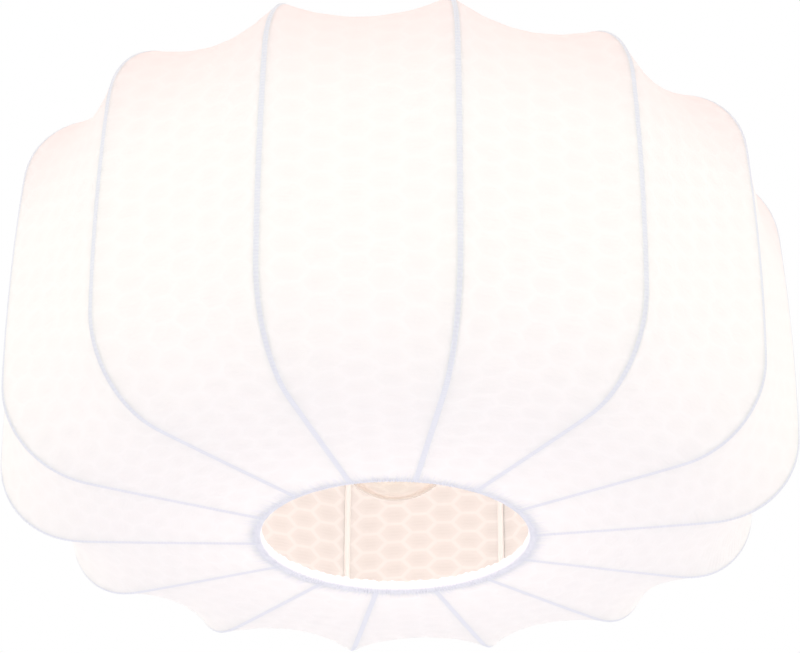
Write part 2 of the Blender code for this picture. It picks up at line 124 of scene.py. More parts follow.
# The hem's colours are darker and bluer than the skin's: painted shade where the doubled knit over a
# ring blocks the bulb's light.
HEM = ((0.87, 0.865, 0.97), (0.93, 0.925, 1.0), (0.98, 0.95, 0.95), (0.22, 0.18))
CASING = ((0.985, 0.98, 0.955), (1.0, 1.0, 0.985), (0.98, 0.95, 0.92), (0.02, 0.01))
FIBRE_SCALE, PATCH_SCALE = 1100.0, 14.0  # of the noise in every knit
COURSE_SCALE, WALE_SCALE, PUCKER_SCALE = 105.0, 240.0, 130.0
FLOOR_COLOUR, FLOOR_DROP, FLOOR_SIZE = (0.925, 0.92, 0.985), 5.0, 30.0

# The camera, in degrees and metres: how far round, away and below the mouth it stands, and how it
# is turned.
CAMERA_LENS = 113.2
CAMERA_SIDE, CAMERA_DISTANCE, CAMERA_DROP = 4.912, 1.7067, 0.747
CAMERA_HEADING, CAMERA_TILT, CAMERA_ROLL = 4.809, 28.407, 0.219


def camera():
    made = bpy.data.objects.new("camera", bpy.data.cameras.new("camera"))
    bpy.context.scene.collection.objects.link(made)
    made.data.sensor_width = 36.0
    made.data.lens = CAMERA_LENS
    side, distance, drop = math.radians(CAMERA_SIDE), CAMERA_DISTANCE, CAMERA_DROP
    place = (distance * math.sin(side), -distance * math.cos(side), RING_Z - drop)
    heading = Matrix.Rotation(math.radians(CAMERA_HEADING), 4, "Z")
    tilt = Matrix.Rotation(math.radians(90 + CAMERA_TILT), 4, "X")
    roll = Matrix.Rotation(math.radians(CAMERA_ROLL), 4, "Z")
    made.matrix_world = Matrix.Translation(place) @ heading @ tilt @ roll
    bpy.context.scene.camera = made


def bend(start, slope, radius, turn, steps):
    points = []
    for i in range(1, steps + 1):
        angle = slope + turn * i / steps
        r = start[0] + radius * (math.sin(angle) - math.sin(slope))
        h = start[1] - radius * (math.cos(angle) - math.cos(slope))
        points.append((r, h))
    return points


def rib_line(offset=0.0):
    """Dense (radius, height over the ring plane) of a rib's line, moved outwards by offset."""
    start_r, end_r = RING_R + RING_WIRE / 2, TOP_R + RING_WIRE / 2
    base_r = start_r + GAP
    shoulder = (base_r + ARM_LENGTH * math.cos(ARM_SLOPE), ARM_LENGTH * math.sin(ARM_SLOPE))
    points = [(start_r, (start_r - base_r) * math.tan(ARM_SLOPE)), shoulder]
    turn = SIDE_START - ARM_SLOPE
    points += bend(points[-1], ARM_SLOPE, LOWER_R, turn, 40)
    turn = SIDE_END - SIDE_START
    points += bend(points[-1], SIDE_START, SIDE_LENGTH / turn, turn, 20)
    points += bend(points[-1], SIDE_END, UPPER_R, math.pi - SIDE_END, 40)
    points.append((end_r, points[-1][1]))
    line = np.array(points)
    run = np.gradient(line, axis=0)
    normal = np.stack([run[:, 1], -run[:, 0]], axis=1)
    normal /= np.linalg.norm(normal, axis=1)[:, None]
    return line + offset * normal


def spaced(line, count):
    """The same line as count + 1 evenly spaced points."""
    length = np.concatenate([[0], np.cumsum(np.linalg.norm(np.diff(line, axis=0), axis=1))])
    at = np.linspace(0, length[-1], count + 1)
    return np.stack([np.interp(at, length, line[:, k]) for k in range(line.shape[1])], axis=1)


def balanced_panel():
    """One panel of skin between two ribs, on the coarse grid, where the knit's pulls balance."""
    line = spaced(rib_line(SKIN_LIFT), COARSE_ALONG)
    half = math.pi / RIBS
    share = np.linspace(-1, 1, COARSE_ACROSS + 1)[:, None]
    skin = np.zeros((COARSE_ACROSS + 1, COARSE_ALONG + 1, 3))
    skin[:, :, 0] = line[:, 0] * math.cos(half)
    skin[:, :, 1] = share * line[:, 0] * math.sin(half)
    skin[:, :, 2] = line[:, 1]
    for end in (0, -1):
        skin[:, end, 0] = line[end, 0] * np.cos(share[:, 0] * half)
        skin[:, end, 1] = line[end, 0] * np.sin(share[:, 0] * half)
    inner_u, inner_v = COARSE_ACROSS - 1, COARSE_ALONG - 1
    index = np.arange(inner_u * inner_v).reshape(inner_u, inner_v)
    for _ in range(4):
        across = np.linalg.norm(np.diff(skin, axis=0), axis=2)
        along = np.linalg.norm(np.diff(skin, axis=1), axis=2)
        width = np.pad(across, ((1, 1), (0, 0)), mode="edge")
        width = 0.5 * (width[1:] + width[:-1])
        depth = np.pad(along, ((0, 0), (1, 1)), mode="edge")
        depth = 0.5 * (depth[:, 1:] + depth[:, :-1])
        pull_u = 0.5 * (depth[1:] + depth[:-1]) / across
        pull_v = PULL_RATIO * 0.5 * (width[:, 1:] + width[:, :-1]) / along
        system = np.zeros((index.size, index.size))
        loads = np.zeros((index.size, 3))
        for i in range(inner_u):
            for j in range(inner_v):
                k = index[i, j]
                near = (
                    (i - 1, j, pull_u[i, j + 1]),
                    (i + 1, j, pull_u[i + 1, j + 1]),
                    (i, j - 1, pull_v[i + 1, j]),
                    (i, j + 1, pull_v[i + 1, j + 1]),
                )
                for a, b, pull in near:
                    system[k, k] += pull
                    if 0 <= a < inner_u and 0 <= b < inner_v:
                        system[k, index[a, b]] -= pull
                    else:
                        loads[k] += pull * skin[a + 1, b + 1]
        skin[1:-1, 1:-1] = np.linalg.solve(system, loads).reshape(inner_u, inner_v, 3)
    return skin


def refined(points, count):
    """Smooth resampling along the first axis, through every given point."""
    last = len(points) - 1
    padded = np.concatenate([[2 * points[0] - points[1]], points, [2 * points[-1] - points[-2]]])
    at = np.linspace(0, last, count + 1)
    i = np.minimum(at.astype(int), last - 1)
    t = (at - i).reshape(-1, *([1] * (points.ndim - 1)))
    a, b, c, d = padded[i], padded[i + 1], padded[i + 2], padded[i + 3]
    even = b * 2 + (c - a) * t
    return 0.5 * (even + (2 * a - 5 * b + 4 * c - d) * t**2 + (3 * b - a - 3 * c + d) * t**3)


def cell_share(u, v):
    """0 in the middle of a honeycomb cell and 1 on its border."""
    x = np.abs((u + CELL_W / 2) % CELL_W - CELL_W / 2)
    y = np.abs((v + CELL_H / 2) % CELL_H - CELL_H / 2)
    slant = (2 * CELL_TIP - CELL_W / 2) / CELL_H * 2

    def share(x, y):
        return np.maximum(2 * y / CELL_H, (x + slant * y) / CELL_TIP)

    return np.minimum(share(x, y), share(CELL_W / 2 - x, CELL_H / 2 - y))


def place_all(points, angle):
    c, s = math.cos(angle), math.sin(angle)
    turned = points.copy()
    turned[..., 0] = points[..., 0] * c - points[..., 1] * s
    turned[..., 1] = points[..., 0] * s + points[..., 1] * c
    turned[..., 2] = points[..., 2] + RING_Z
    return turned


def grid_mesh(name, points, closed, uvs=None):
    """A mesh of a grid of points (columns, rows, 3), whose columns may close on themselves."""
    columns, rows = points.shape[:2]
    index = np.arange(columns * rows).reshape(columns, rows)
    right = np.roll(index, -1, axis=0) if closed else index[1:]
    left = index if closed else index[:-1]
    quads = np.stack([left[:, :-1], right[:, :-1], right[:, 1:], left[:, 1:]], axis=-1)
    mesh = bpy.data.meshes.new(name)
    mesh.from_pydata(points.reshape(-1, 3).tolist(), [], quads.reshape(-1, 4).tolist())
    if uvs:
        for layer, corner_uvs in uvs.items():
            made = mesh.uv_layers.new(name=layer)
            made.data.foreach_set("uv", corner_uvs.reshape(-1).astype(np.float32))
    mesh.shade_smooth()
    return mesh


def new_piece(name, mesh, finish, body="lantern"):
    piece = bpy.data.objects.new(name, mesh)
    bpy.context.scene.collection.objects.link(piece)
    mesh.materials.append(finish)
    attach(piece, body)
    return piece


def skin_pieces(face, reverse):
    """The whole skin: fourteen balanced panels in one sheet, with the honeycomb's relief.

    The knit's two faces look different, so its reverse is a sheet of its own just inside.
    """
    panel = refined(balanced_panel(), ACROSS)
    panel = refined(panel.swapaxes(0, 1), ALONG).swapaxes(0, 1)
    across = np.linalg.norm(np.diff(panel, axis=0), axis=2)
    u = np.concatenate([np.zeros((1, ALONG + 1)), np.cumsum(across, axis=0)])
    u = u - u[-1] / 2
    middle = panel[ACROSS // 2]
    v = np.concatenate([[0], np.cumsum(np.linalg.norm(np.diff(middle, axis=0), axis=1))])
    v = np.broadcast_to(v, u.shape)
    du, dv = np.gradient(panel, axis=0), np.gradient(panel, axis=1)
    normal = np.cross(du, dv)
    normal /= np.linalg.norm(normal, axis=2)[..., None]
    rng = np.random.default_rng(14)
    sheets, linings, pattern, edges, ends = [], [], [], [], []
    from_edge = np.minimum(u - u[0], u[-1] - u)
    free = np.clip(from_edge / 0.012, 0, 1) ** 2
    free = free * np.clip(v / 0.03, 0, 1) * np.clip((v[0, -1] - v) / 0.03, 0, 1)
    for i in range(RIBS):
        shift_u, shift_v = rng.uniform(-0.006, 0.006, 2)
        pillow = (1 - cell_share(u + shift_u, v + shift_v)) * RELIEF * free
        ripple = np.sin(v / 0.031 + rng.uniform(0, 6.28)) * np.sin(u / 0.023 + rng.uniform(0, 6.28))
        ripple = 0.0006 * ripple
        moved = panel + normal * (pillow + ripple * free)[..., None]
        angle = -math.pi / 2 + 2 * math.pi * i / RIBS
        sheets.append(place_all(moved[:-1], angle))
        linings.append(place_all((moved - LINING_DROP * normal)[:-1:2, ::2], angle))
        pattern.append(np.stack([u + shift_u, v + shift_v], axis=-1))
        edges.append(np.stack([from_edge, v], axis=-1))
        around = i + np.linspace(0, 1, ACROSS + 1)[:, None] + 0 * v
        ends.append(np.stack([around, np.minimum(v, v[0, -1] - v)], axis=-1))

    def corners(grids, step=1):
        out = []
        for g in grids:
            g = g[::step, ::step]
            out.append(np.stack([g[:-1, :-1], g[1:, :-1], g[1:, 1:], g[:-1, 1:]], axis=2))
        return np.concatenate(out)

    uvs = {"knit": corners(pattern), "seam": corners(edges), "gather": corners(ends)}
    mesh = grid_mesh("knit_skin", np.concatenate(sheets), True, uvs)
    skin = new_piece("knit_skin", mesh, face)
    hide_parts(*[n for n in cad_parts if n.startswith("panel_")])
    uvs = {"knit": corners(pattern, 2), "seam": corners(edges, 2), "gather": corners(ends, 2)}
    mesh = grid_mesh("knit_reverse", np.concatenate(linings), True, uvs)
    inside = new_piece("knit_reverse", mesh, reverse)


def softened(points, radius, closed=False, steps=4):
    """The same outline or route, with each corner rounded."""
    points = [np.array(p, float) for p in points]
    out = []
    for i, corner in enumerate(points):
        if not closed and i in (0, len(points) - 1):
            out.append(corner)
            continue
        before, after = points[i - 1] - corner, points[(i + 1) % len(points)] - corner
        long_before, long_after = np.linalg.norm(before), np.linalg.norm(after)
        reach = min(radius, 0.45 * long_before, 0.45 * long_after)
        start, end = corner + before / long_before * reach, corner + after / long_after * reach
        for t in np.linspace(0, 1, steps + 1):
            out.append((1 - t) ** 2 * start + 2 * t * (1 - t) * corner + t * t * end)
    if closed:
        out.append(out[0])
    return np.array(out)


def solid_mesh(name, grid, closed=True, sharp=40.0):
    """A closed mesh from a grid whose rows may shrink to a point, with its normals outwards."""
    mesh = grid_mesh(name, grid, closed)
    shape = bmesh.new()
    shape.from_mesh(mesh)
    bmesh.ops.remove_doubles(shape, verts=shape.verts, dist=2e-6)
    bmesh.ops.recalc_face_normals(shape, faces=shape.faces)
    shape.to_mesh(mesh)
    shape.free()
    mesh.set_sharp_from_angle(angle=math.radians(sharp))
    return mesh


def tube(name, path, radius, finish, node=None, body="lantern", sides=14):
    """A wire with flat ends, along any route."""
    path = np.asarray(path, float)
    run = np.gradient(path, axis=0)
    run /= np.linalg.norm(run, axis=1)[:, None]
    up = np.cross(run[0], (0.31, 0.52, 0.79))
    grid = np.zeros((sides, len(path) + 2, 3))
    turn = np.linspace(0, 2 * math.pi, sides, endpoint=False)[:, None]
    for i, (point, ahead) in enumerate(zip(path, run)):
        up = up - up.dot(ahead) * ahead
        up = up / np.linalg.norm(up)
        grid[:, i + 1] = point + radius * (np.cos(turn) * up + np.sin(turn) * np.cross(ahead, up))
    grid[:, 0], grid[:, -1] = path[0], path[-1]
    piece = new_piece(name, solid_mesh(name, grid), finish, body)
    if node:
        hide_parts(node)
    return piece


def turned(name, profile, finish, slot, body="lantern", node=None, **how):
    """A turned piece from its outline of (radius, height over the ring plane).

    soften rounds the corners; thread is (low, high, pitch, depth, least radius); shape(angle,
    radius, height) changes the radius; place puts a piece that isn't on the lantern's axis.
    """
    open_ends = profile[0][0] == 0 and profile[-1][0] == 0
    line = softened(profile, how.get("soften", 0.0005), closed=not open_ends)
    thread = how.get("thread")
    sides = how.get("sides", 72)
    if thread:
        step = thread[2] / 8
        dense = [line[:1]]
        for a, b in zip(line[:-1], line[1:]):
            count = max(1, math.ceil(abs(b[1] - a[1]) / step))
            dense.append(a + (b - a) * np.linspace(0, 1, count + 1)[1:, None])
        line = np.concatenate(dense)
    turn = np.linspace(0, 2 * math.pi, sides, endpoint=False)[:, None]
    radius = np.broadcast_to(line[:, 0], (sides, len(line))).copy()
    height = np.broadcast_to(line[:, 1], radius.shape)
    if thread:
        low, high, pitch, depth, least = thread
        inside = np.clip((height - low) / pitch, 0, 1) * np.clip((high - height) / pitch, 0, 1)
        wave = 0.5 - 0.5 * np.cos(2 * math.pi * height / pitch - turn)
        radius -= np.where(radius > least, depth * inside * wave, 0)
    if how.get("shape"):
        radius = how["shape"](turn, radius, height)
    grid = np.stack([radius * np.cos(turn), radius * np.sin(turn), height], axis=-1)
    mesh = solid_mesh(name, grid, sharp=how.get("sharp", 40.0))
    mesh.transform(how.get("place") or Matrix.Translation((0, 0, RING_Z)))
    piece = new_piece(name, mesh, finish, body)
    if node:
        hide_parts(node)
    return piece


def rib_angle(i):
    return -math.pi / 2 + 2 * math.pi * (i + 0.5) / RIBS


def rib_wires(finish):
    line = spaced(rib_line(), 120)
    flat = np.stack([line[:, 0], np.zeros(len(line)), line[:, 1]], axis=1)
    for i in range(RIBS):
        name = f"rib_{i + 1:02d}"
        route = place_all(flat, rib_angle(i))
        tube(name.replace("rib", "rib_wire"), route, RIB_WIRE / 2, finish, name)


def sleeves(finish):
    """The sewn casing round each rib, under the skin."""
    line = spaced(rib_line(), 260)
    flat = np.stack([line[:, 0], np.zeros(len(line)), line[:, 1]], axis=1)
    run = np.gradient(flat, axis=0)
    run /= np.linalg.norm(run, axis=1)[:, None]
    out = np.stack([run[:, 2], np.zeros(len(run)), -run[:, 0]], axis=1)
    turn = np.linspace(0, 2 * math.pi, 16, endpoint=False)[:, None, None]
    rng = np.random.default_rng(5)
    for i in range(RIBS):
        at = np.linspace(0, 1, len(line))
        wrinkle = sum(np.sin(at * k + rng.uniform(0, 6.28)) for k in (310, 497, 733)) / 3
        swell = (1 + 0.03 * wrinkle)[:, None]
        side = (CASING_HALF - CASING_EGG * np.sin(turn)) * np.cos(turn) * np.array([0, 1.0, 0])
        grid = flat - CASING_SET_IN * out + swell * (side + CASING_DEPTH * np.sin(turn) * out)
        grid = place_all(grid, rib_angle(i))
        name = f"rib_sleeve_{i + 1:02d}"
        new_piece(name, grid_mesh(name, grid[::-1], True), finish)


def gathered_edge(name, finish, ring_r, ring_h, up, node):
    """The skin's gathered edge: fine pleats run over the ring and turn in as a short band."""
    rng = np.random.default_rng(3 if up > 0 else 8)
    theta = np.linspace(0, 2 * math.pi, EDGE_SIDES, endpoint=False)
    waves = ((k, rng.uniform(0, 6.28)) for k in (3, 7, 11, 19, 31))
    wander = sum(rng.uniform(0.3, 1.3) * np.sin(k * theta + phase) for k, phase in waves)
    waves = ((k, rng.uniform(0, 6.28)) for k in (13, 29, 47, 83))
    depth = 1 + 0.3 * sum(np.sin(k * theta + phase) for k, phase in waves)
    depth = np.clip(depth, 0.15, 1.8)
    wave = np.sin(PLEATS * theta + wander)
    reach = EDGE_REACH + EDGE_REACH_VARIES * np.sin(23 * theta + 1.3) * np.sin(61 * theta)
    tube_r = RING_WIRE / 2 + EDGE_CLOTH
    tilt = math.tan(ARM_SLOPE) if up > 0 else 0.0
    lip = LIP + 0.0005 * np.sin(PLEATS / 3 * theta + wander) + 0.0004 * np.sin(31 * theta)
    rows = []
    for t in np.linspace(1, 0, 11)[:-1]:  # over the skin, towards the ring
        r = ring_r + tube_r * 0.6 + reach * t
        over = SKIN_LIFT + 0.0004 * (1 - t) ** 2 - 0.0005 * t
        h = ring_h - up * over + tilt * reach * t
        rows.append((r, h, PLEAT_OUTSIDE * (1 - 0.3 * t), -up, 0.0))
    for t in np.linspace(0, 1, 8):  # round the ring
        angle = -math.pi / 2 - t * math.pi / 2
        r = ring_r + tube_r * np.cos(angle) + 0 * theta
        h = ring_h + up * tube_r * np.sin(angle) + 0 * theta
        amount = PLEAT_ROUND - (PLEAT_ROUND - PLEAT_INSIDE) * t
        rows.append((r, h, amount, math.sin(angle) * up, math.cos(angle)))
    for t in np.linspace(0, 1, 7)[1:]:  # up inside, as a band
        r = ring_r - tube_r - 0.0004 * math.sin(math.pi * t) + 0 * theta
        rows.append((r, ring_h + up * lip * t, PLEAT_INSIDE, 0.0, -1.0))
    grid = np.zeros((EDGE_SIDES, len(rows), 3))
    for j, (r, h, amount, out_h, out_r) in enumerate(rows):
        rise = amount * depth * wave
        radius = r + rise * out_r
        grid[:, j, 0] = radius * np.cos(theta)
        grid[:, j, 1] = radius * np.sin(theta)
        grid[:, j, 2] = h + rise * out_h + RING_Z
    if up < 0:
        grid = grid[::-1]
    edge = new_piece(name, grid_mesh(name, grid, True), finish)
    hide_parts(node)
    return edge


def rings(finish):
    around = np.linspace(0, 2 * math.pi, 180, endpoint=False)[:, None]
    turn = np.linspace(0, 2 * math.pi, 15)[None, :]
    for node, ring_r, ring_z in (("bottom_ring", RING_R, RING_Z), ("top_ring", TOP_R, TOP_Z)):
        radius = ring_r + RING_WIRE / 2 * np.cos(turn)
        high = ring_z + RING_WIRE / 2 * np.sin(turn) + 0 * around
        grid = np.stack([radius * np.cos(around), radius * np.sin(around), high], axis=-1)
        ring = new_piece(node + "_wire", solid_mesh(node, grid), finish)
        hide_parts(node)


def spider(finish):
    rest = HUB_LOW + HUB_WALL + GAP + ARM_WIRE / 2
    under_ring = TOP_Z - RING_Z - RING_WIRE / 2 - GAP
    route = [(0.0125, rest), (0.034, rest), (0.082, 0.268), (TOP_R, 0.280), (TOP_R, under_ring)]
    line = softened(route, 0.012, steps=10)
    flat = np.stack([line[:, 0], np.zeros(len(line)), line[:, 1]], axis=1)
    for i in range(ARMS):
        angle = math.pi / 2 + 2 * math.pi * i / ARMS
        name = f"spider_arm_{i + 1}"
        tube(name + "_wire", place_all(flat, angle), ARM_WIRE / 2, finish, name)


def hexagon(corner_r):
    """A nut's outline: six flats whose corners are turned down at both faces."""

    def shape(turn, radius, height):
        flat = corner_r * math.cos(math.pi / 6)
        hexagonal = flat / np.cos((turn + math.pi / 6) % (math.pi / 3) - math.pi / 6)
        low, high = height.min(), height.max()
        near = np.minimum(height - low, high - height)
        limit = flat + 1.7 * near
        outer = np.minimum(hexagonal, limit)
        return np.where(radius > 0.9 * flat, outer * radius / radius.max(), radius)

    return shape


def nut(name, low, finish):
    high, bore = low + NUT, STEM_R + 0.0002
    flat = NUT_CORNER_R * math.cos(math.pi / 6)
    outline = [(bore, high), (flat, high), (flat, high - NUT_EDGE)]
    outline += [(flat, low + NUT_EDGE), (flat, low), (bore, low)]
    turned(name + "_hex", outline, finish, "zinc_steel", node=name, sides=120,
           soften=0.0001, shape=hexagon(NUT_CORNER_R), sharp=20)


def canopy(finish):
    base, edge, bore = CEILING - CANOPY_DEPTH, 0.004, STEM_R + GAP
    outline = [
        (bore, base + CANOPY_WALL),
        (CANOPY_R - CANOPY_WALL, base + CANOPY_WALL),
        (CANOPY_R - CANOPY_WALL, CEILING),
        (CANOPY_R, CEILING),
        (CANOPY_R, base),
        (bore, base),
    ]
    inner = softened(outline[:3], edge - CANOPY_WALL, steps=8)
    outer = softened(outline[3:], edge, steps=8)
    pan = turned("canopy_pan", [*inner, *outer], finish, "white_steel", node="canopy",
                 sides=144, soften=0.0002)
    turn = Matrix.Translation((0, 0, SCREW_Z)) @ Matrix.Rotation(math.pi / 2, 4, "Y")
    shape = bmesh.new()
    bmesh.ops.create_cone(shape, cap_ends=True, segments=24, radius1=SCREW_R + GAP,
                          radius2=SCREW_R + GAP, depth=3 * CANOPY_R, matrix=turn)
    rod = bpy.data.meshes.new("rod")
    shape.to_mesh(rod)
    shape.free()
    bore_through(pan, rod)


def bore_through(piece, rod_mesh):
    """Cuts a hole through a piece and leaves no modifier or cutter behind."""
    rod = bpy.data.objects.new("rod", rod_mesh)
    bpy.context.scene.collection.objects.link(rod)
    hole = piece.modifiers.new("hole", "BOOLEAN")
    hole.object, hole.solver = rod, "EXACT"
    bpy.context.view_layer.update()
    graph = bpy.context.evaluated_depsgraph_get()
    cut = bpy.data.meshes.new_from_object(piece.evaluated_get(graph))
    piece.modifiers.clear()
    piece.data = cut
    bpy.data.objects.remove(rod)


def thumb_screw(side, brass, steel):
    """A knurled thumb screw, threaded into the bracket's ear, and its washer."""
    face = CANOPY_R + GAP
    seat = face + WASHER + GAP
    crown = seat + HEAD_LENGTH
    turn = Matrix.Rotation(math.pi / 2, 4, "Y")
    if side == "left":
        turn = Matrix.Rotation(math.pi, 4, "Z") @ turn
    place = Matrix.Translation((0, 0, SCREW_Z)) @ turn

    def knurl(turn, radius, height):
        grip = np.clip((height - seat - 0.0008) / 0.0004, 0, 1)
        grip = grip * np.clip((crown - 0.0008 - height) / 0.0004, 0, 1)
        lean = 3500 * height
        cross = np.abs(np.sin(KNURLS * turn + lean)) * np.abs(np.sin(KNURLS * turn - lean))
        return np.where(radius > 0.8 * HEAD_R, radius - 0.00035 * grip * (1 - cross), radius)

    outline = [(0.0, crown - 0.0006), (0.0026, crown - 0.0006), (0.0030, crown)]
    outline += [(HEAD_R - 0.0005, crown), (HEAD_R, crown - 0.0006)]
    outline += [(HEAD_R, crown - 0.0006 - 0.00012 * i) for i in range(1, 60)]
    outline += [(HEAD_R, seat + 0.0006), (HEAD_R - 0.0006, seat)]
    outline += [(SCREW_R, seat), (SCREW_R, SHANK_END + 0.001)]
    outline += [(0.5 * SCREW_R, SHANK_END), (0.0, SHANK_END)]
    turned(f"thumb_screw_{side}", outline, brass, "brass", f"screw_{side}", f"canopy_screw_{side}",
           sides=112, soften=0.0003, shape=knurl, place=place,
           thread=(SHANK_END + 0.0003, seat - 0.0005, SCREW_PITCH, 0.0003, 0.0012))
    washer = [(HEAD_R - 0.0004, face + WASHER), (HEAD_R - 0.0004, face), (SCREW_R + GAP, face)]
    washer += [(SCREW_R + GAP, face + WASHER)]
    turned(f"washer_{side}_disc", washer, steel, "zinc_steel", f"washer_{side}",
           f"canopy_washer_{side}", soften=0.00015, place=place)


def hub_and_stem(paint, steel):
    top, rim, bore = HUB_LOW + HUB_WALL, HUB_LOW - 0.006, STEM_R + GAP
    plate = [(bore, top), (HUB_R, top), (HUB_R, rim), (HUB_R - HUB_WALL, rim)]
    plate += [(HUB_R - HUB_WALL, HUB_LOW), (bore, HUB_LOW)]
    turned("hub_disc", plate, paint, "white_steel", node="hub_plate", sides=120, soften=0.0014)
    stem = [(STEM_R, STEM_TOP), (STEM_R, STEM_LOW), (STEM_BORE_R, STEM_LOW), (STEM_BORE_R, STEM_TOP)]
    turned("stem_thread", stem, steel, "zinc_steel", node="stem_tube", sides=48,
           soften=0.0003, thread=(STEM_LOW, STEM_TOP, 0.001, 0.00042, 0.0042))
    nut("hub_nut", HUB_LOW + HUB_WALL + GAP, steel)
    nut("canopy_nut_lower", CEILING - CANOPY_DEPTH - GAP - NUT, steel)
    nut("canopy_nut_upper", CEILING - CANOPY_DEPTH + CANOPY_WALL + GAP, steel)


def lampholder(plastic, glaze, brass):
    top, wall, neck = HUB_LOW - GAP, 0.0022, STEM_R + GAP
    cap = [(neck, top), (0.0110, top), (0.0125, top - 0.010), (0.0185, top - 0.018)]
    cap += [(HOLDER_R, top - 0.022), (HOLDER_R, JOINT), (HOLDER_R - wall, JOINT)]
    cap += [(HOLDER_R - wall, top - 0.0195), (0.0112, top - 0.0155), (neck, top - 0.0155)]
    turned("holder_cap", cap, plastic, "cream_plastic", node="lampholder_cap", sides=108, soften=0.0012)
    low, high = MOUTH + 0.006, JOINT - 0.012

    def fluted(turn, radius, height):
        inside = np.clip((height - low) / 0.002, 0, 1) * np.clip((high - height) / 0.002, 0, 1)
        flute = 0.5 - 0.5 * np.cos(36 * turn)
        return np.where(radius > HOLDER_R - 0.0015, radius - 0.0005 * inside * flute, radius)

    top = JOINT - GAP
    skirt = [(HOLDER_R - wall, top), (HOLDER_R, top), (HOLDER_R, top - 0.010)]
    skirt += [(HOLDER_R - 0.0008, top - 0.011)]
    skirt += [(HOLDER_R - 0.0008, high - 0.001 * i) for i in range(1, 26) if high - 0.001 * i > low]
    skirt += [(HOLDER_R - 0.0008, MOUTH + 0.0045), (HOLDER_R + 0.0006, MOUTH + 0.003)]
    skirt += [(HOLDER_R + 0.0006, MOUTH), (HOLDER_R - wall, MOUTH)]
    turned("holder_skirt", skirt, plastic, "cream_plastic", node="lampholder_skirt", sides=288,
           soften=0.0006, shape=fluted)
    base = [(0.0, 0.1845), (0.0165, 0.1845), (0.0165, 0.1762), (0.0, 0.1762)]
    turned("holder_ceramic", base, glaze, "ceramic", node="ceramic_base", soften=0.001)
    shell = [(0.0148, 0.1758), (0.0148, MOUTH + 0.003), (0.0141, MOUTH + 0.003), (0.0141, 0.1758)]
    turned("holder_thread", shell, brass, "brass", node="threaded_shell", soften=0.0002,
           thread=(MOUTH + 0.003, 0.1745, EDISON_PITCH, 0.0005, 0.0))


def globe_line(radius, neck_r):
    """Down a globe with a flared neck, ending on the axis."""
    flare, rise = neck_r * 1.35, 0.010
    opening = math.asin(flare / radius)
    start = GLOBE_Z + radius * math.cos(opening)
    line = [(neck_r, NECK_TOP), (neck_r, start + rise)]
    for t in (0.6, 0.25):
        line.append((flare * (1 - t) + neck_r * t + 0.0004 * t * (1 - t), start + rise * t))
    for angle in np.linspace(opening, math.pi, 60):
        line.append((radius * math.sin(angle), GLOBE_Z + radius * math.cos(angle)))
    line[-1] = (0.0, GLOBE_Z - radius)
    return line


def bulb(glass, nickel, dark, glow):
    neck = CAP_R - 0.0011
    outer = globe_line(GLOBE_R, neck)
    inner = globe_line(GLOBE_R - GLASS, neck - GLASS)
    globe = turned("globe", inner[::-1] + outer, glass, "clear_glass", "bulb", "bulb_glass",
                   sides=128, soften=0.003)
    globe.visible_shadow = False
    bore, lip = neck + 0.0004, 0.0085
    cap = [(lip, CAP_TOP), (CAP_R - 0.0016, CAP_TOP - 0.0008), (CAP_R, CAP_TOP - 0.003)]
    cap += [(CAP_R, CAP_LOW), (bore, CAP_LOW), (bore, NECK_TOP + 0.0004), (lip, NECK_TOP + 0.0026)]
    turned("bulb_screw_cap", cap, nickel, "nickel", "bulb", "bulb_cap", sides=96, soften=0.0005,
           thread=(CAP_LOW + 0.002, CAP_TOP - 0.0015, EDISON_PITCH, 0.0011, 0.0125))
    top = TIP_LOW - GAP
    disc = [(0.0, top), (0.0052, top), (0.0082, CAP_TOP + 0.0004), (0.0081, CAP_TOP - 0.0018)]
    disc.append((0.0, CAP_TOP - 0.0018))
    turned("insulator_disc", disc, dark, "black_glass", "bulb", "cap_insulator", soften=0.0006)
    tip = [(0.0, TIP_TOP), (0.0028, TIP_TOP - 0.0005), (0.0046, TIP_TOP - 0.0019), (0.0046, TIP_LOW)]
    tip.append((0.0, TIP_LOW))
    turned("tip_contact", tip, nickel, "nickel", "bulb_tip", "bulb_tip", soften=0.0008)
    foot, press = 0.128, 0.118
    mount = [(0.0, 0.1462), (0.0095, 0.1462), (0.0060, foot + 0.006), (0.0032, foot), (0.0030, press)]

    def flattened(turn, radius, height):
        press_share = np.clip((foot + 0.004 - height) / 0.008, 0, 1)
        return radius * (1 - 0.35 * press_share * np.sin(turn) ** 2)

    turned("glass_mount", mount + [(0.0, press)], glass, "clear_glass", "bulb", "bulb_stem",
           soften=0.003, shape=flattened).visible_shadow = False
    low, high = FILAMENT_LOW, FILAMENT_TOP
    route = [(0.0, 0.0, press - GAP), (0.0, 0.0, high + 0.003)]
    for i in range(4):
        angle = math.pi / 4 + math.pi / 2 * i
        for h in (high, low) if i % 2 == 0 else (low, high):
            route.append((FILAMENT_R * math.cos(angle), FILAMENT_R * math.sin(angle), h))
    route = softened(route, 0.0016) + np.array([0, 0, RING_Z])
    wire = tube("filament_wire", route, FILAMENT_WIRE, glow, "bulb_filament", "bulb")
    wire.visible_shadow = False


